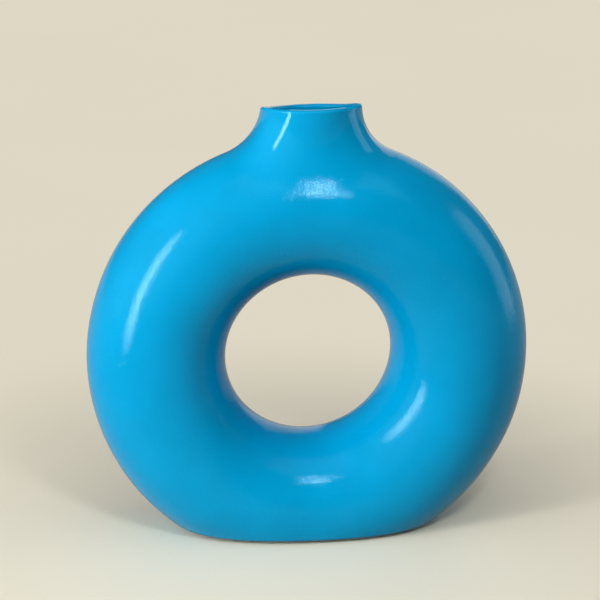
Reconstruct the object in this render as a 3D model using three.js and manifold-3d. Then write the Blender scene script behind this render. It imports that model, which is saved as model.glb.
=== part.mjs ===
// A ring-shaped ceramic vase: a hollow round tube bent into an upright ring, with a short round neck on
// top and a flat oval foot. It is put together as a potter does it, from clay pieces luted with slip and
// then glazed and fired: two half-ring shells from one mould, a neck collar, a base slab and a foot ring.
// Millimetres. X runs across the ring, Y along the ring's axis with the front at -Y, and Z up from the table.

import * as THREE from "three";
import { mergeVertices } from "three/addons/utils/BufferGeometryUtils.js";
import Module from "manifold-3d";

// Ring
const RING_DIAMETER = 280; // outside, across the whole ring
const TUBE_DIAMETER = 87.4; // outside, of the round tube
const FOOT_CUT = 25.1; // height of the slice left off the ring's bottom, so that it stands
const WALL = 5; // clay and glaze

// Neck
const NECK_DIAMETER = 63; // outside, where the neck is straight
const FLARE_AT_SIDES = 33; // radius of the hollow curve that leads from the neck along the ring
const FLARE_AT_FRONT = 75; // radius of the same curve where it runs down the ring's front and back
const NECK_RISE = 19.2; // middle of the lip above the crown of the ring
const LIP_RISE_TO_FRONT = 9; // degrees: the mouth is cut by hand, and its front edge is the higher one
const LIP_RISE_TO_RIGHT = 1.3; // degrees
const LIP_DIP = 0.7; // how far the lip dips at its front and back, and stands up at its sides
const LIP_EDGE_RADIUS = 2.1; // along both edges of the lip

// Foot
const BASE_THICKNESS = 6; // the slab that closes the bottom of the ring
const BASE_EDGE_RADIUS = 2.5; // along the slab's lower edge
const FOOT_RING_HEIGHT = 1.5; // the bare ring that touches the table
const FOOT_RING_WIDTH = 9;
const FOOT_RING_SETBACK = 4; // from the end of the slab's rounded edge

// Joints
const SLIP_JOINT = 0.3; // the layer of slip between two luted pieces

// Facets
const RING_STEPS = 64; // round the ring
const TUBE_STEPS = 14; // round the half of the tube that one shell holds
const NECK_STEPS = 64; // round the neck
const FLARE_STEPS = 12; // from the ring up to the lip
const LIP_STEPS = 3; // round each edge of the lip
const FOOT_STEPS = 64; // round the foot
const BASE_STEPS = 2; // up the slab's wall
const EDGE_STEPS = 4; // round the slab's lower edge

const tubeRadius = TUBE_DIAMETER / 2;
const ringRadius = RING_DIAMETER / 2 - tubeRadius; // of the tube's centre line
const ringHeight = RING_DIAMETER / 2 - FOOT_CUT; // of the ring's centre above the table
const crownHeight = ringHeight + RING_DIAMETER / 2;
const neckRadius = NECK_DIAMETER / 2;
const lipEdge = Math.min(LIP_EDGE_RADIUS, WALL / 2);
const baseEdge = Math.min(BASE_EDGE_RADIUS, BASE_THICKNESS / 2);
const baseBottom = FOOT_RING_HEIGHT + SLIP_JOINT;
const baseTop = baseBottom + BASE_THICKNESS;
const footRingInset = baseEdge + FOOT_RING_SETBACK;
const UP = new THREE.Vector3(0, 0, 1);

const wasm = await Module();
wasm.setup();

// Evenly spaced numbers from one end to the other, both ends included.
function spaced(from, to, steps) {
  return Array.from({ length: steps + 1 }, (_, i) => from + ((to - from) * i) / steps);
}

// Angles round a full turn, without the last, which is the first again.
function turnOf(steps) {
  return spaced(0, 2 * Math.PI, steps).slice(0, -1);
}

// The volume within a triangle mesh, negative where its faces point inwards.
function signedVolume(points, faces) {
  let six = 0;
  for (let i = 0; i < faces.length; i += 3) {
    const [a, b, c] = [points[faces[i]], points[faces[i + 1]], points[faces[i + 2]]];
    six += a.dot(b.clone().cross(c));
  }
  return six / 6;
}

// A geometry from points and triangles, with its faces turned to point outwards.
function surface(points, faces) {
  const outward = signedVolume(points, faces) > 0 ? faces : faces.toReversed();
  const geometry = new THREE.BufferGeometry().setFromPoints(points);
  geometry.setIndex(outward);
  geometry.computeVertexNormals();
  return geometry;
}

// A closed skin over rings of equally many points. An endless loft joins its last ring to its first, and any
// other has a fan of triangles over each end.
function loft(rings, endless = false) {
  const count = rings[0].length;
  const points = rings.flat();
  const faces = [];
  const bands = endless ? rings.length : rings.length - 1;
  for (let i = 0; i < bands; i++) {
    const low = i * count;
    const high = ((i + 1) % rings.length) * count;
    for (let j = 0; j < count; j++) {
      const k = (j + 1) % count;
      faces.push(low + j, low + k, high + k, low + j, high + k, high + j);
    }
  }
  const capped = endless ? [] : [0, rings.length - 1];
  for (const end of capped) {
    const hub = points.length;
    const middle = new THREE.Vector3();
    rings[end].forEach((point) => middle.addScaledVector(point, 1 / count));
    points.push(middle);
    for (let j = 0; j < count; j++) {
      const edge = [end * count + j, end * count + ((j + 1) % count)];
      faces.push(hub, ...(end ? edge : edge.reverse()));
    }
  }
  return surface(points, faces);
}

// A closed geometry as a solid that can be cut.
function solid(geometry) {
  const bare = geometry.clone();
  bare.deleteAttribute("normal");
  bare.deleteAttribute("uv");
  const merged = mergeVertices(bare);
  const vertProperties = merged.attributes.position.array;
  const triVerts = new Uint32Array(merged.index.array);
  return new wasm.Manifold(new wasm.Mesh({ numProp: 3, vertProperties, triVerts }));
}

// A cut solid as a geometry again.
function geometryOf(made) {
  const { vertProperties, triVerts } = made.getMesh();
  const geometry = new THREE.BufferGeometry();
  geometry.setAttribute("position", new THREE.BufferAttribute(vertProperties, 3));
  geometry.setIndex(new THREE.BufferAttribute(triVerts, 1));
  geometry.computeVertexNormals();
  return geometry;
}

// Height of the upper side of a ring over a point of the table. The ring has the vase's centre line and any
// tube radius.
function ringTop(x, y, radius) {
  const across = ringRadius + Math.sqrt(radius ** 2 - y ** 2);
  return ringHeight + Math.sqrt(across ** 2 - x ** 2);
}

// The point of the tube's centre line that is nearest to a point.
function nearestOnCentreLine({ x, z }) {
  const share = ringRadius / Math.hypot(x, z - ringHeight);
  return new THREE.Vector3(x * share, 0, ringHeight + (z - ringHeight) * share);
}

// Top of the lip at one angle: the mouth is cut on a slope and dips a little at the front and back.
function lipHeight(angle) {
  const lipRadius = neckRadius - WALL / 2;
  const toFront = -Math.sin(angle) * Math.tan(THREE.MathUtils.degToRad(LIP_RISE_TO_FRONT));
  const toRight = Math.cos(angle) * Math.tan(THREE.MathUtils.degToRad(LIP_RISE_TO_RIGHT));
  return crownHeight + NECK_RISE + lipRadius * (toFront + toRight) + LIP_DIP * Math.cos(2 * angle);
}

// The outer line of the neck at one angle, from the ring up to the lip, as a function of the share of its
// length. A ball with the flare's radius rolls round the neck and touches both neck and ring. The line follows
// the ball from the ring to the neck and then goes straight up, or stops at the lip where that comes first.
// rise is the direction of the line, and outward points out of the clay.
function neckLine(angle) {
  const flareRadius = THREE.MathUtils.lerp(FLARE_AT_SIDES, FLARE_AT_FRONT, Math.sin(angle) ** 2);
  const fromAxis = new THREE.Vector3(Math.cos(angle), Math.sin(angle), 0);
  const ball = fromAxis.clone().multiplyScalar(neckRadius + flareRadius);
  ball.z = ringTop(ball.x, ball.y, tubeRadius + flareRadius);
  const toRing = nearestOnCentreLine(ball).sub(ball).normalize();
  const toNeck = fromAxis.clone().negate();
  const sweep = toRing.angleTo(toNeck);

  const wallTop = lipHeight(angle) - lipEdge;
  const straight = Math.max(0, wallTop - ball.z);
  const below = Math.max(0, ball.z - wallTop);
  const cutOff = Math.asin((below * Math.sin(sweep)) / (flareRadius * -toRing.z));
  const flare = flareRadius * (sweep - cutOff);

  // A mix of the two directions from the ball, with the given weights.
  function mix(ringWeight, neckWeight) {
    const mixed = toRing.clone().multiplyScalar(ringWeight).addScaledVector(toNeck, neckWeight);
    return mixed.divideScalar(Math.sin(sweep));
  }

  return (share) => {
    const along = share * (flare + straight);
    const turn = Math.min(along, flare) / flareRadius;
    const fromBall = mix(Math.sin(sweep - turn), Math.sin(turn));
    const point = ball.clone().addScaledVector(fromBall, flareRadius);
    point.z += Math.max(0, along - flare);
    const rise = along > flare ? UP.clone() : mix(-Math.cos(sweep - turn), Math.cos(turn));
    return { point, rise, outward: fromBall.negate() };
  };
}

// A cut through the neck's wall at one angle: up the outside, over the rounded lip and down the inside. Its
// lower edge is square to the wall, so the collar sits in the ring like a stopper.
function collarSection(angle) {
  const line = neckLine(angle);
  const heights = spaced(0, 1, FLARE_STEPS).map(line);
  const outside = heights.map(({ point }) => point);
  const inside = heights.map(({ point, outward }) => point.clone().addScaledVector(outward, -WALL));
  const { point, rise, outward } = line(1);
  const lipPoint = (turn, inwards) => {
    const over = point.clone().addScaledVector(outward, lipEdge * Math.cos(turn) - inwards);
    return over.addScaledVector(rise, lipEdge * Math.sin(turn));
  };
  const quarter = spaced(0, Math.PI / 2, LIP_STEPS);
  const outerEdge = quarter.slice(1).map((turn) => lipPoint(turn, lipEdge));
  const innerEdge = quarter.slice(0, -1).map((turn) => lipPoint(Math.PI / 2 + turn, WALL - lipEdge));
  return [...outside, ...outerEdge, ...innerEdge, ...inside.reverse()];
}

function neckCollar() {
  return loft(turnOf(NECK_STEPS).map(collarSection), true);
}

// What is cut out of the ring to seat the collar: a stopper that is larger than the collar by the slip joint.
function neckOpening() {
  const seats = turnOf(NECK_STEPS).map((angle) => {
    const { point, rise, outward } = neckLine(angle)(0);
    return { point: point.addScaledVector(rise, -SLIP_JOINT), outward };
  });
  const within = seats.map(({ point, outward }) => point.clone().addScaledVector(outward, -2 * WALL));
  const outside = seats.map(({ point, outward }) => point.clone().addScaledVector(outward, WALL));
  const above = outside.map(({ x, y }) => new THREE.Vector3(x, y, crownHeight + NECK_RISE));
  return loft([within, outside, above]);
}

// Everything below the joint with the base slab.
function belowBase() {
  const top = baseTop + SLIP_JOINT;
  const box = new THREE.BoxGeometry(RING_DIAMETER, RING_DIAMETER, RING_DIAMETER);
  return box.translate(0, 0, top - RING_DIAMETER / 2);
}

// One half of the hollow ring: half of the tube's wall turned about the ring's axis, and then opened for the
// neck and the base. Its seam stands half a slip joint off the middle plane.
function halfRing() {
  const arc = (radius) => {
    const start = Math.asin(SLIP_JOINT / 2 / radius);
    return spaced(start, Math.PI - start, TUBE_STEPS).map(
      (turn) => new THREE.Vector2(ringRadius + radius * Math.cos(turn), -radius * Math.sin(turn)),
    );
  };
  const profile = [...arc(tubeRadius - WALL), ...arc(tubeRadius).reverse()];
  profile.push(profile[0].clone());
  const turned = new THREE.LatheGeometry(profile, RING_STEPS).translate(0, 0, ringHeight);
  const opened = solid(turned).subtract(solid(neckOpening())).subtract(solid(belowBase()));
  return geometryOf(opened);
}

// The outline of the ring at one height near the foot, an oval, drawn in by an inset at its ends and sides.
function footOutline(height, inset) {
  const below = ringHeight - height;
  const halfLength = Math.sqrt((ringRadius + tubeRadius) ** 2 - below ** 2);
  const halfDepth = (x) => {
    const offCentreLine = Math.hypot(x, below) - ringRadius;
    return Math.sqrt(Math.max(0, tubeRadius ** 2 - offCentreLine ** 2));
  };
  const narrower = 1 - inset / halfLength;
  const shallower = 1 - inset / halfDepth(0);
  return turnOf(FOOT_STEPS).map((turn) => {
    const x = halfLength * Math.cos(turn);
    const y = Math.sign(Math.sin(turn)) * halfDepth(x);
    return new THREE.Vector3(x * narrower, y * shallower, height);
  });
}

// The slab carries on the ring's own outline below the shells, and its lower edge is rounded.
function baseSlab() {
  const edge = spaced(0, Math.PI / 2, EDGE_STEPS).map((turn) => ({
    height: baseBottom + baseEdge * (1 - Math.cos(turn)),
    inset: baseEdge * (1 - Math.sin(turn)),
  }));
  const wall = spaced(baseBottom + baseEdge, baseTop, BASE_STEPS).slice(1);
  return loft([
    ...edge.map(({ height, inset }) => footOutline(height, inset)),
    ...wall.map((height) => footOutline(height, 0)),
  ]);
}

function footRing() {
  const outer = footOutline(baseBottom, footRingInset);
  const inner = footOutline(baseBottom, footRingInset + FOOT_RING_WIDTH);
  const at = ({ x, y }, height) => new THREE.Vector3(x, y, height);
  const sections = outer.map((point, i) => [
    at(point, 0),
    at(point, FOOT_RING_HEIGHT),
    at(inner[i], FOOT_RING_HEIGHT),
    at(inner[i], 0),
  ]);
  return loft(sections, true);
}

const blueGlaze = new THREE.MeshStandardMaterial({ color: 0x0092c8, roughness: 0.3, metalness: 0 });
const bareClay = new THREE.MeshStandardMaterial({ color: 0xc9b59a, roughness: 0.9, metalness: 0 });

const vase = new THREE.Group();
function add(name, geometry, material) {
  const mesh = new THREE.Mesh(geometry, material);
  mesh.name = name;
  vase.add(mesh);
  return mesh;
}

const half = halfRing();
add("front_half", half, blueGlaze);
add("rear_half", half, blueGlaze).rotation.z = Math.PI;
add("neck_collar", neckCollar(), blueGlaze);
add("base_slab", baseSlab(), blueGlaze);
add("foot_ring", footRing(), bareClay);

export default vase;
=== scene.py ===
"""A ring-shaped vase with a turquoise glaze, on a pale floor in soft window light.

Every piece is a fine mesh of the same form as its solid. The pieces meet edge to edge, because the glaze
covers the joints between the clay pieces. Metres, +Z up, the front of the vase at -Y.
"""

import math

import bpy
import numpy as np
from mathutils import Matrix, Vector


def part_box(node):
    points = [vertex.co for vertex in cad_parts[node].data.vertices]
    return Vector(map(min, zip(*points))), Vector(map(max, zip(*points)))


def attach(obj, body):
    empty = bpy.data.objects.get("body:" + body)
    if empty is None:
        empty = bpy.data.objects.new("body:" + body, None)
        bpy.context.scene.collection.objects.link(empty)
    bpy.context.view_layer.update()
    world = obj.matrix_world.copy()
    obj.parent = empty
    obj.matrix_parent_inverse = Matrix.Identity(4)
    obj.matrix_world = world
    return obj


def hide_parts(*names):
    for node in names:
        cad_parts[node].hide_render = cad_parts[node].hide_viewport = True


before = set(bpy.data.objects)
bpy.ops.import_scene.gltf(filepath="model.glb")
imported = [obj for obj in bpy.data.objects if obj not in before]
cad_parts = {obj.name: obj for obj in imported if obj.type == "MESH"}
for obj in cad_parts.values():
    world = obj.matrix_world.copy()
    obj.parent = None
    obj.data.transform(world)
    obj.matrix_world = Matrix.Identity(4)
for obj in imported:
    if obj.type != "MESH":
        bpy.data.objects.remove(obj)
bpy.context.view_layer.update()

# Ring and foot, from the solids
half_low, half_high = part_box("front_half")
slab_low, slab_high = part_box("base_slab")
foot_low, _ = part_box("foot_ring")
TUBE_RADIUS = -half_low.y
RING_OUTSIDE = half_high.x
RING_RADIUS = RING_OUTSIDE - TUBE_RADIUS
RING_HEIGHT = slab_high.z + math.sqrt(RING_OUTSIDE**2 - slab_high.x**2)
CROWN_HEIGHT = RING_HEIGHT + RING_OUTSIDE
SLAB_JOINT = (slab_high.z + half_low.z) / 2
SLAB_BOTTOM = slab_low.z
GROUND = foot_low.z

# Wall, neck and lip
WALL = 0.005
NECK_RADIUS = 0.0315
FLARE_AT_SIDES = 0.033
FLARE_AT_FRONT = 0.075
NECK_RISE = 0.0192
LIP_RISE_TO_FRONT = math.radians(9)
LIP_RISE_TO_RIGHT = math.radians(1.3)
LIP_DIP = 0.0007
LIP_EDGE = 0.0021

# Foot
SLAB_EDGE = 0.0025
FOOT_RING_SETBACK = 0.004
FOOT_RING_INSET = SLAB_EDGE + FOOT_RING_SETBACK
FOOT_RING_WIDTH = 0.009
FOOT_RING_EDGE = 0.0005

# The unevenness of a surface smoothed by hand
WOBBLE_DEPTH = 0.0007
WOBBLE_WAVES = 7
WOBBLE_LONGEST = 0.15
WOBBLE_SHORTEST = 0.055
WOBBLE_FADE = (0.01, 0.05)
GOLDEN_ANGLE = math.pi * (3 - math.sqrt(5))

# Fineness of the meshes
SEAT_STEPS = 40
FOOT_STEPS = 18
HOLE_STEPS = 44
LIMB_STEPS = 110
FLARE_STEPS = 30
LIP_STEPS = 8
SLAB_STEPS = 4
EDGE_STEPS = 8
SEAT_ROWS = SEAT_STEPS + 1
SLAB_ROWS = SEAT_STEPS + FOOT_STEPS + 1
WELD_DISTANCE = 1e-7

# Small steps over which slopes are taken, in metres and in radians
SLOPE_STEP = 1e-4
TURN_STEP = 1e-4

# Glaze
GLAZE_COLOURS = [(0.0, 0.30, 0.57), (0.0, 0.32, 0.61), (0.0, 0.34, 0.65)]
GLAZE_ROUGHNESS = (0.05, 0.09)
GLAZE_IOR = 1.28
GLAZE_TINT = (0.5, 0.92, 1, 1)
MOTTLE_SIZE = 0.045
RIPPLE_SIZE = 0.014
RIPPLE_DEPTH = 0.0006
RIPPLE_STRENGTH = 0.08
GRAIN_SIZE = 0.001
GRAIN_DEPTH = 0.00017
GRAIN_ON_RING = 0.58
GRAIN_ON_NECK = 0.04
GRAIN_FADE = 0.02

# Bare clay
CLAY_COLOURS = [(0.50, 0.38, 0.25), (0.66, 0.54, 0.39)]
CLAY_ROUGHNESS = (0.8, 0.95)
CLAY_TONE_SIZE = 0.02
SAND_SIZE = 0.0008
SAND_DEPTH = 0.0003
SAND_STRENGTH = 0.6

# Floor and backdrop
FLOOR_COLOUR = (0.89, 0.83, 0.67)
FLOOR_TONES = (0.99, 1.01)
FLOOR_TONE_SIZE = 0.5
FLOOR_ROUGHNESS = 0.6
FLOOR_REACH = 6.0
FLOOR_FADE = (0.1, 0.4)
BACKDROP_LEVEL = 0.82
# How much of the floor reflections show, and how much of its colour it throws back as light
REFLECTED_SHARE = 0.6
BOUNCED_SHARE = 0.4

# Camera, fitted to the outline of the vase and the table in the photo
CAMERA_PLACE = Vector((-0.1828, -1.3973, 0.5927))
CAMERA_YAW = math.radians(7.226)
CAMERA_PITCH = math.radians(17.471)
CAMERA_ROLL = math.radians(-0.665)
CAMERA_LENS = 141.13

BODY = "root"
UP = np.array([0, 0, 1])
DOWN = -UP
TO_REAR = np.array([1, -1, 1])
TO_LEFT = np.array([-1, 1, 1])
# Where noise has most of its values
NOISE_RANGE = (0.3, 0.7)


def smooth_step(values, low, high):
    share = np.clip((values - low) / (high - low), 0, 1)
    return share * share * (3 - 2 * share)


def unit(vectors):
    return vectors / np.linalg.norm(vectors, axis=-1, keepdims=True)


def wobble(points):
    """How deep the real surface lies below the true form. It is zero at the foot."""
    total = np.zeros(points.shape[:-1])
    for i in range(WOBBLE_WAVES):
        share = i / (WOBBLE_WAVES - 1)
        rise = 1 - 2 * (i + 0.5) / WOBBLE_WAVES
        turn = GOLDEN_ANGLE * i
        flat = math.sqrt(1 - rise**2)
        heading = np.array([flat * math.cos(turn), flat * math.sin(turn), rise])
        wavelength = WOBBLE_LONGEST + (WOBBLE_SHORTEST - WOBBLE_LONGEST) * share
        total += np.sin(2 * math.pi / wavelength * points @ heading + turn) / WOBBLE_WAVES
    return WOBBLE_DEPTH * (0.5 + 0.5 * total) * smooth_step(points[..., 2], *WOBBLE_FADE)


def uneven(points, normals):
    """Points and normals of a surface after the wobble."""
    slope = np.stack([
        (wobble(points + SLOPE_STEP * axis) - wobble(points - SLOPE_STEP * axis)) / (2 * SLOPE_STEP)
        for axis in np.eye(3)
    ], axis=-1)
    along = slope - (slope * normals).sum(-1, keepdims=True) * normals
    return points - normals * wobble(points)[..., None], unit(normals + along)


class Skin:
    """Collects grids of points with their normals, and joins them into one closed mesh."""

    def __init__(self):
        self.points = []
        self.normals = []
        self.quads = []
        self.count = 0

    def add(self, points, normals, closed=False):
        """A grid of points with a normal each, which its faces follow. A closed grid joins its last column
        to its first."""
        points = np.asarray(points, float)
        rows, columns = points.shape[:2]
        index = np.arange(rows * columns).reshape(rows, columns)
        if closed:
            index = np.hstack([index, index[:, :1]])
        corners = [index[:-1, :-1], index[:-1, 1:], index[1:, 1:], index[1:, :-1]]
        quads = np.stack([corner.ravel() for corner in corners], axis=-1)
        flat = points.reshape(-1, 3)
        normals = np.asarray(normals, float).reshape(-1, 3)
        facing = np.cross(flat[quads[:, 2]] - flat[quads[:, 0]], flat[quads[:, 3]] - flat[quads[:, 1]])
        if (facing * normals[quads[:, 0]]).sum() < 0:
            quads = quads[:, ::-1]
        self.points.append(flat)
        self.normals.append(normals)
        self.quads.append(quads + self.count)
        self.count += len(flat)

    def make(self, name, material, node):
        """The mesh as an object that stands for a solid."""
        points = np.vstack(self.points)
        normals = np.vstack(self.normals)
        grid = np.round(points / WELD_DISTANCE).astype(np.int64)
        _, kept, welded = np.unique(grid, axis=0, return_index=True, return_inverse=True)
        welded = welded.ravel()
        faces = []
        corner_normals = []
        for quad in np.vstack(self.quads):
            face = []
            for corner in quad:
                if welded[corner] not in [welded[other] for other in face]:
                    face.append(corner)
            if len(face) > 2:
                faces.append([int(welded[corner]) for corner in face])
                corner_normals += [normals[corner] for corner in face]
        mesh = bpy.data.meshes.new(name)
        mesh.from_pydata(points[kept].tolist(), [], faces)
        mesh.shade_smooth()
        mesh.normals_split_custom_set([normal.tolist() for normal in corner_normals])
        mesh.materials.append(material)
        piece = bpy.data.objects.new(name, mesh)
        bpy.context.scene.collection.objects.link(piece)
        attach(piece, BODY)
        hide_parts(node)


# Neck

def seat_angles():
    """Angles round the neck at which the collar and the halves share their points."""
    return np.linspace(0, 2 * math.pi, 4 * SEAT_STEPS, endpoint=False)


def lip_height(angles):
    radius = NECK_RADIUS - WALL / 2
    to_front = -np.sin(angles) * math.tan(LIP_RISE_TO_FRONT)
    to_right = np.cos(angles) * math.tan(LIP_RISE_TO_RIGHT)
    return CROWN_HEIGHT + NECK_RISE + radius * (to_front + to_right) + LIP_DIP * np.cos(2 * angles)


def neck_line(angles, shares):
    """Points and directions of the neck's outer side, from the ring up to the lip. A ball of the flare's
    radius rolls round the neck and touches neck and ring."""
    flare_radius = FLARE_AT_SIDES + (FLARE_AT_FRONT - FLARE_AT_SIDES) * np.sin(angles) ** 2
    from_axis = np.stack([np.cos(angles), np.sin(angles), np.zeros_like(angles)], axis=-1)
    ball = from_axis * (NECK_RADIUS + flare_radius)[:, None]
    across = RING_RADIUS + np.sqrt((TUBE_RADIUS + flare_radius) ** 2 - ball[:, 1] ** 2)
    ball[:, 2] = RING_HEIGHT + np.sqrt(across**2 - ball[:, 0] ** 2)
    centre = np.array([0, 0, RING_HEIGHT])
    upright = (ball - centre) * np.array([1, 0, 1])
    to_ring = unit(centre + RING_RADIUS * unit(upright) - ball)
    sweep = np.arccos((to_ring * -from_axis).sum(-1))

    # Where the lip lies below the ball's middle, it ends the flare early
    wall_top = lip_height(angles) - LIP_EDGE
    straight = np.maximum(0, wall_top - ball[:, 2])
    below = np.maximum(0, ball[:, 2] - wall_top)
    flare = flare_radius * (sweep - np.arcsin(below * np.sin(sweep) / (flare_radius * -to_ring[:, 2])))

    along = shares[None, :] * (flare + straight)[:, None]
    turn = np.minimum(along, flare[:, None]) / flare_radius[:, None]
    rest = sweep[:, None] - turn

    def mix(ring_weight, neck_weight):
        mixed = ring_weight[..., None] * to_ring[:, None] - neck_weight[..., None] * from_axis[:, None]
        return mixed / np.sin(sweep)[:, None, None]

    points = ball[:, None] + flare_radius[:, None, None] * mix(np.sin(rest), np.sin(turn))
    points[..., 2] += np.maximum(0, along - flare[:, None])
    rise = np.where((along > flare[:, None])[..., None], UP, mix(-np.cos(rest), np.cos(turn)))
    return points, rise


def neck_side(angles, shares):
    """Points, directions and outward normals of the neck's outer side."""
    points, rise = neck_line(angles, shares)
    around = neck_line(angles + TURN_STEP, shares)[0] - neck_line(angles - TURN_STEP, shares)[0]
    return points, rise, unit(np.cross(around, rise))


def neck_collar(material):
    outside, rise, outward = neck_side(seat_angles(), np.linspace(0, 1, FLARE_STEPS + 1))
    top, up, out = outside[:, -1:], rise[:, -1:], outward[:, -1:]
    quarter_turn = np.linspace(0, math.pi / 2, LIP_STEPS + 1)[None, :, None]

    def lip(turns, inwards):
        normals = out * np.cos(turns) + up * np.sin(turns)
        return top + LIP_EDGE * normals - inwards * out, normals

    outer_lip, outer_normals = lip(quarter_turn, LIP_EDGE)
    inner_lip, inner_normals = lip(quarter_turn + math.pi / 2, WALL - LIP_EDGE)
    inside = outside - WALL * outward
    points = np.concatenate([outside, outer_lip[:, 1:], inner_lip, inside[:, -2::-1]], axis=1)
    normals = np.concatenate([outward, outer_normals[:, 1:], inner_normals, -outward[:, -2::-1]], axis=1)
    points, normals = uneven(points, normals)
    skin = Skin()
    skin.add(points.transpose(1, 0, 2), normals.transpose(1, 0, 2), closed=True)
    skin.add([points[:, 0], points[:, -1]], [-rise[:, 0]] * 2, closed=True)
    skin.make("glazed_neck_collar", material, "neck_collar")


# Ring

def on_ring(around, across, radius):
    """Points and normals of the tube. around is 0 at the crown, and across is 0 on the ring's outside and a
    quarter turn on its front."""
    reach = RING_RADIUS + radius * np.cos(across)
    points = np.stack([
        reach * np.sin(around), -radius * np.sin(across), RING_HEIGHT + reach * np.cos(around),
    ], axis=-1)
    normals = np.stack([
        np.cos(across) * np.sin(around), -np.sin(across), np.cos(across) * np.cos(around),
    ], axis=-1)
    return points, normals


def cut_across(height, radius):
    """Where across the tube a level cut just reaches the lowest point of the ring's front."""
    return math.acos((RING_HEIGHT - height - RING_RADIUS) / radius)


def rows_across(last_cut):
    """The lines along the tube of one half, from the outer seam to the seam in the hole. The first ones end
    on the collar's seat, and those up to last_cut end on the base slab."""
    front_right = np.linspace(0, -math.pi / 2, SEAT_ROWS)
    seat = neck_line(front_right, np.zeros(1))[0][:, 0]
    reach = np.hypot(seat[:, 0], seat[:, 2] - RING_HEIGHT)
    across = np.arctan2(-seat[:, 1], reach - RING_RADIUS)
    around = np.arctan2(seat[:, 0], seat[:, 2] - RING_HEIGHT)
    # Exactly on the seam and in the middle, where the quarters of the ring meet
    across[0] = 0
    around[-1] = 0
    ease = 1 - (1 - np.linspace(0, 1, FOOT_STEPS + 1)[1:]) ** 2
    to_cut = across[-1] + (last_cut - across[-1]) * ease
    to_hole = last_cut + (math.pi - last_cut) * np.linspace(0, 1, HOLE_STEPS + 1)[1:]
    rows = np.concatenate([across, to_cut, to_hole])
    starts = np.concatenate([around, np.zeros(FOOT_STEPS + HOLE_STEPS)])
    return rows, starts


def level_around(height, reach):
    """How far round the ring lines along the tube, each at its reach, come down to a height."""
    return np.arccos(np.maximum((height - RING_HEIGHT) / reach, -1))


def tube_grid(radius):
    """The right side of the front half's wall, at one radius of the tube."""
    rows, starts = rows_across(cut_across(SLAB_JOINT, radius))
    ends = level_around(SLAB_JOINT, RING_RADIUS + radius * np.cos(rows))
    ends[SLAB_ROWS - 1:] = math.pi
    shares = np.linspace(0, 1, LIMB_STEPS + 1)
    around = starts[:, None] + (ends - starts)[:, None] * shares
    return on_ring(around, np.broadcast_to(rows[:, None], around.shape), radius)


def ring_half(name, node, material, rear=False):
    outer, outer_normals = tube_grid(TUBE_RADIUS)
    inner, inner_normals = tube_grid(TUBE_RADIUS - WALL)
    right = TO_REAR if rear else np.ones(3)
    skin = Skin()
    for side in (right, right * TO_LEFT):
        outside, outward = uneven(outer * side, outer_normals * side)
        inside, inward = uneven(inner * side, -inner_normals * side)
        skin.add(outside, outward)
        skin.add(inside, inward)
        to_other_half = np.full_like(outside[0], [0, 1, 0]) * side
        for seam in (0, -1):
            skin.add([outside[seam], inside[seam]], [to_other_half] * 2)
        seat_wall = np.stack([outside[:SEAT_ROWS, 0], inside[:SEAT_ROWS, 0]])
        skin.add(seat_wall, np.broadcast_to(UP, seat_wall.shape))
        slab_wall = np.stack([outside[:SLAB_ROWS, -1], inside[:SLAB_ROWS, -1]])
        skin.add(slab_wall, np.broadcast_to(DOWN, slab_wall.shape))
    skin.make(name, material, node)


# Foot

def foot_outline(height, inset=0.0):
    """The ring's outline at one height near the foot, anticlockwise from the front, drawn in by an inset."""
    top_rows = rows_across(cut_across(SLAB_JOINT, TUBE_RADIUS))[0][:SLAB_ROWS]
    rows = top_rows * (cut_across(height, TUBE_RADIUS) / top_rows[-1])
    around = level_around(height, RING_RADIUS + TUBE_RADIUS * np.cos(rows))
    around[-1] = math.pi
    points, normals = on_ring(around, rows, TUBE_RADIUS)
    points *= np.array([1 - inset / points[:, 0].max(), 1 + inset / points[:, 1].min(), 1])

    def all_round(front_right):
        rear_right = front_right * TO_REAR
        right = np.vstack([front_right[::-1], rear_right[1:]])
        left = right * TO_LEFT
        return np.vstack([right, left[-2:0:-1]])

    return all_round(points), all_round(normals)


def base_slab(material):
    heights = np.linspace(SLAB_JOINT, SLAB_BOTTOM + SLAB_EDGE, SLAB_STEPS + 1)
    walls = [foot_outline(height) for height in heights]
    rings = [points for points, _ in walls]
    normals = [normal for _, normal in walls]
    for turn in np.linspace(0, math.pi / 2, EDGE_STEPS + 1)[1:]:
        points, outward = foot_outline(
            SLAB_BOTTOM + SLAB_EDGE * (1 - math.sin(turn)), SLAB_EDGE * (1 - math.cos(turn))
        )
        rings.append(points)
        normals.append(unit(outward * math.cos(turn) + DOWN * math.sin(turn)))
    skin = Skin()
    skin.add(rings, normals, closed=True)
    for ring, facing in ((rings[0], UP), (rings[-1], DOWN)):
        middle = ring * np.array([1, 0, 1])
        cap = np.stack([ring, middle])
        skin.add(cap, np.broadcast_to(facing, cap.shape), closed=True)
    skin.make("glazed_base_slab", material, "base_slab")


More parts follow.
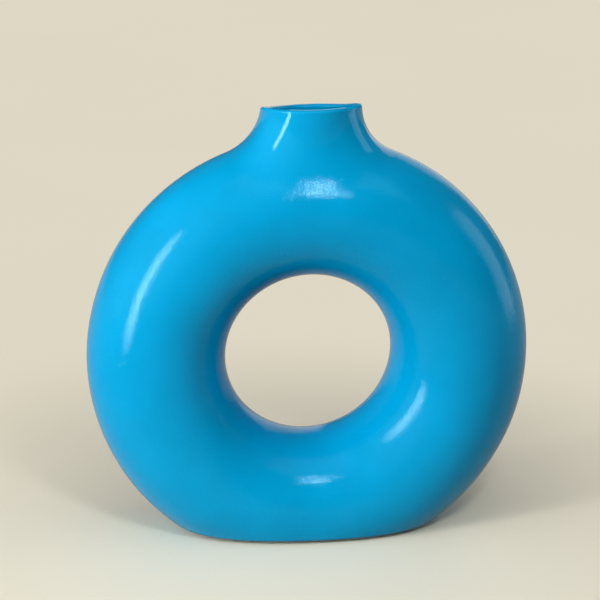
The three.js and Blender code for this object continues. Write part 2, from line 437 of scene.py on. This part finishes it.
def foot_ring(material):
    outer_top, _ = foot_outline(SLAB_BOTTOM, FOOT_RING_INSET)
    inner_top, _ = foot_outline(SLAB_BOTTOM, FOOT_RING_INSET + FOOT_RING_WIDTH)
    inwards = unit(inner_top - outer_top)
    turns = np.linspace(0, math.pi / 2, EDGE_STEPS + 1)

    def low_edge(start, side, turn):
        flat = start * np.array([1, 1, 0]) + GROUND * UP
        inset = FOOT_RING_EDGE * (1 - math.cos(turn))
        rise = FOOT_RING_EDGE * (1 - math.sin(turn))
        return flat + side * inset + UP * rise, unit(-side * math.cos(turn) + DOWN * math.sin(turn))

    rings = [(outer_top, -inwards)]
    rings += [low_edge(outer_top, inwards, turn) for turn in turns]
    rings += [low_edge(inner_top, -inwards, turn) for turn in turns[::-1]]
    rings += [(inner_top, inwards)]
    skin = Skin()
    skin.add([points for points, _ in rings], [normal for _, normal in rings], closed=True)
    top = np.stack([outer_top, inner_top])
    skin.add(top, np.broadcast_to(UP, top.shape), closed=True)
    skin.make("bare_foot_ring", material, "foot_ring")


# Materials

class Nodes:
    """The node tree of one material or world, with shorthands for the nodes used here."""

    def __init__(self, owner):
        owner.use_nodes = True
        self.tree = owner.node_tree
        self.tree.nodes.clear()

    def add(self, kind, inputs, **settings):
        """A node whose inputs are set to a plain value or linked to another node's output."""
        made = self.tree.nodes.new(kind)
        for name, value in settings.items():
            setattr(made, name, value)
        for name, value in inputs.items():
            if isinstance(value, bpy.types.NodeSocket):
                self.tree.links.new(value, made.inputs[name])
            else:
                made.inputs[name].default_value = value
        return made

    def where(self):
        """The place on the object."""
        return self.add("ShaderNodeTexCoord", {}).outputs["Object"]

    def noise(self, where, size, detail=2, roughness=0.5):
        """Noise with features of about the given size in metres."""
        return self.add("ShaderNodeTexNoise", {
            "Vector": where, "Scale": 1 / size, "Detail": detail, "Roughness": roughness,
        }).outputs["Fac"]

    def ramp(self, source, colours):
        """Colours in even steps over the values of a noise."""
        made = self.add("ShaderNodeValToRGB", {"Fac": source})
        elements = made.color_ramp.elements
        while len(elements) < len(colours):
            elements.new(sum(NOISE_RANGE) / 2)
        for element, position, colour in zip(elements, np.linspace(*NOISE_RANGE, len(colours)), colours):
            element.position = position
            element.color = (*colour, 1)
        return made.outputs["Color"]

    def spread(self, source, low, high):
        """A 0 to 1 value spread over another range."""
        return self.add("ShaderNodeMapRange", {
            "Value": source, "To Min": low, "To Max": high,
        }).outputs["Result"]

    def fade(self, source, start, end, low=0, high=1):
        """A value that goes smoothly from low to high while the source goes from start to end."""
        return self.add("ShaderNodeMapRange", {
            "Value": source, "From Min": start, "From Max": end, "To Min": low, "To Max": high,
        }, interpolation_type="SMOOTHSTEP").outputs["Result"]

    def bump(self, height, depth, strength, under=None):
        """The normal of a bumpy surface, on top of another normal where one is given."""
        inputs = {"Height": height, "Distance": depth, "Strength": strength}
        if under is not None:
            inputs["Normal"] = under
        return self.add("ShaderNodeBump", inputs).outputs["Normal"]

    def mix(self, share, first, second):
        """One shader, and another one by a share."""
        return self.add("ShaderNodeMixShader", {"Fac": share, 1: first, 2: second}).outputs["Shader"]


def blue_glaze():
    """Glossy turquoise glaze: a little mottled, with a fine grain that breaks up its reflections. The neck,
    which was thrown and not pressed, is smoother."""
    material = bpy.data.materials.new("blue_glaze")
    nodes = Nodes(material)
    where = nodes.where()
    height = nodes.add("ShaderNodeSeparateXYZ", {"Vector": where}).outputs["Z"]
    mottle = nodes.noise(where, MOTTLE_SIZE, detail=4, roughness=0.55)
    ripple = nodes.noise(where, RIPPLE_SIZE)
    grain = nodes.noise(where, GRAIN_SIZE, detail=0)
    grain_strength = nodes.fade(
        height, CROWN_HEIGHT - GRAIN_FADE, CROWN_HEIGHT, GRAIN_ON_RING, GRAIN_ON_NECK
    )
    waves = nodes.bump(ripple, RIPPLE_DEPTH, RIPPLE_STRENGTH)
    shader = nodes.add("ShaderNodeBsdfPrincipled", {
        "Base Color": nodes.ramp(mottle, GLAZE_COLOURS),
        "Roughness": nodes.spread(ripple, *GLAZE_ROUGHNESS),
        "Normal": nodes.bump(grain, GRAIN_DEPTH, grain_strength, under=waves),
        "IOR": GLAZE_IOR,
        "Specular Tint": GLAZE_TINT,
    })
    nodes.add("ShaderNodeOutputMaterial", {"Surface": shader.outputs["BSDF"]})
    return material


def bare_clay():
    """Unglazed buff clay, sandy and matt."""
    material = bpy.data.materials.new("bare_clay")
    nodes = Nodes(material)
    where = nodes.where()
    tone = nodes.noise(where, CLAY_TONE_SIZE, detail=5)
    sand = nodes.noise(where, SAND_SIZE, detail=3, roughness=0.7)
    shader = nodes.add("ShaderNodeBsdfPrincipled", {
        "Base Color": nodes.ramp(tone, CLAY_COLOURS),
        "Roughness": nodes.spread(sand, *CLAY_ROUGHNESS),
        "Normal": nodes.bump(sand, SAND_DEPTH, SAND_STRENGTH),
    })
    nodes.add("ShaderNodeOutputMaterial", {"Surface": shader.outputs["BSDF"]})
    return material


def pale_floor():
    """Round the vase the floor is lit and holds its shadow. Farther off it fades into an even backdrop that
    only the camera and reflections see, so that no lamp leaves a bright spot on it."""
    material = bpy.data.materials.new("pale_floor")
    nodes = Nodes(material)
    where = nodes.where()
    tone = nodes.noise(where, FLOOR_TONE_SIZE, detail=3)
    colour = nodes.ramp(tone, [[level * tone_share for level in FLOOR_COLOUR] for tone_share in FLOOR_TONES])
    rays = nodes.add("ShaderNodeLightPath", {}).outputs
    reflected = nodes.spread(rays["Is Glossy Ray"], 0, REFLECTED_SHARE)
    seen = nodes.add("ShaderNodeMath", {0: rays["Is Camera Ray"], 1: reflected}, operation="MAXIMUM")
    seen = seen.outputs["Value"]
    distance = nodes.add("ShaderNodeVectorMath", {"Vector": where}, operation="LENGTH").outputs["Value"]
    shown = nodes.add("ShaderNodeVectorMath", {
        "Vector": colour, "Scale": nodes.spread(seen, BOUNCED_SHARE, 1),
    }, operation="SCALE")
    near_floor = nodes.add("ShaderNodeBsdfPrincipled", {
        "Base Color": shown.outputs["Vector"], "Roughness": FLOOR_ROUGHNESS,
    })
    far_floor = nodes.add("ShaderNodeEmission", {
        "Color": colour, "Strength": nodes.spread(seen, 0, BACKDROP_LEVEL),
    })
    surface = nodes.mix(
        nodes.fade(distance, *FLOOR_FADE), near_floor.outputs["BSDF"], far_floor.outputs["Emission"]
    )
    nodes.add("ShaderNodeOutputMaterial", {"Surface": surface})
    return material


# Stage

def floor(material):
    mesh = bpy.data.meshes.new("floor")
    corners = [(FLOOR_REACH * x, FLOOR_REACH * y, 0) for x, y in ((-1, -1), (1, -1), (1, 1), (-1, 1))]
    mesh.from_pydata(corners, [], [(0, 1, 2, 3)])
    mesh.materials.append(material)
    made = bpy.data.objects.new("floor", mesh)
    bpy.context.scene.collection.objects.link(made)


def camera():
    forward = Vector((
        math.sin(CAMERA_YAW) * math.cos(CAMERA_PITCH),
        math.cos(CAMERA_YAW) * math.cos(CAMERA_PITCH),
        -math.sin(CAMERA_PITCH),
    ))
    level = Vector((math.cos(CAMERA_YAW), -math.sin(CAMERA_YAW), 0))
    down = forward.cross(level)
    right = level * math.cos(CAMERA_ROLL) + down * math.sin(CAMERA_ROLL)
    up = level * math.sin(CAMERA_ROLL) - down * math.cos(CAMERA_ROLL)
    data = bpy.data.cameras.new("camera")
    data.lens = CAMERA_LENS
    made = bpy.data.objects.new("camera", data)
    turned = Matrix((right, up, -forward)).transposed().to_4x4()
    made.matrix_world = Matrix.Translation(CAMERA_PLACE) @ turned
    bpy.context.scene.collection.objects.link(made)
    bpy.context.scene.camera = made


def direction(azimuth, elevation):
    """Where something stands, seen from the vase. Azimuth 0 is in front, 90 to the right, in degrees."""
    azimuth = math.radians(azimuth)
    elevation = math.radians(elevation)
    level = math.cos(elevation)
    return Vector((math.sin(azimuth) * level, -math.cos(azimuth) * level, math.sin(elevation)))


def light(name, azimuth, elevation, distance, width, height, radiance):
    """A softbox that faces the vase."""
    towards = direction(azimuth, elevation)
    data = bpy.data.lights.new(name, "AREA")
    data.shape = "RECTANGLE"
    data.size = width
    data.size_y = height
    data.energy = radiance * math.pi * width * height
    made = bpy.data.objects.new(name, data)
    made.location = Vector((0, 0, RING_HEIGHT)) + towards * distance
    made.rotation_mode = "QUATERNION"
    made.rotation_quaternion = towards.to_track_quat("Z", "Y")
    made.visible_camera = False
    bpy.context.scene.collection.objects.link(made)


def room(dim, bright, azimuth, elevation, focus):
    """Light from all round, brightest from one side. The camera sees the backdrop instead."""
    world = bpy.data.worlds.new("room")
    nodes = Nodes(world)
    facing = nodes.add("ShaderNodeVectorMath", {
        0: nodes.add("ShaderNodeTexCoord", {}).outputs["Generated"], 1: direction(azimuth, elevation),
    }, operation="DOT_PRODUCT")
    lobe = nodes.add("ShaderNodeMath", {
        0: facing.outputs["Value"], 1: focus,
    }, operation="POWER", use_clamp=True)
    around = nodes.add("ShaderNodeBackground", {
        "Strength": nodes.spread(lobe.outputs["Value"], dim, bright),
    })
    backdrop = nodes.add("ShaderNodeBackground", {
        "Color": (*FLOOR_COLOUR, 1), "Strength": BACKDROP_LEVEL,
    })
    seen = nodes.add("ShaderNodeLightPath", {}).outputs["Is Camera Ray"]
    surface = nodes.mix(seen, around.outputs["Background"], backdrop.outputs["Background"])
    nodes.add("ShaderNodeOutputWorld", {"Surface": surface})
    bpy.context.scene.world = world


def lighting():
    light("window", azimuth=-57, elevation=11.3, distance=0.95, width=0.12, height=0.66, radiance=29)
    light("skylight", azimuth=9, elevation=39.5, distance=0.9, width=0.125, height=0.12, radiance=43)
    light("ceiling", azimuth=20, elevation=70, distance=3.2, width=3.2, height=3.2, radiance=0.8)
    light("right_side", azimuth=94, elevation=10, distance=1.4, width=0.6, height=1.1, radiance=1.8)
    light("back_wall", azimuth=160, elevation=12, distance=3.6, width=2.4, height=2.2, radiance=0.85)
    room(dim=0.1, bright=1.65, azimuth=-60, elevation=10, focus=3)


bpy.context.scene.view_settings.view_transform = "Standard"
camera()
lighting()
floor(pale_floor())
glaze = blue_glaze()
ring_half("glazed_front_half", "front_half", glaze)
ring_half("glazed_rear_half", "rear_half", glaze, rear=True)
neck_collar(glaze)
base_slab(glaze)
foot_ring(bare_clay())
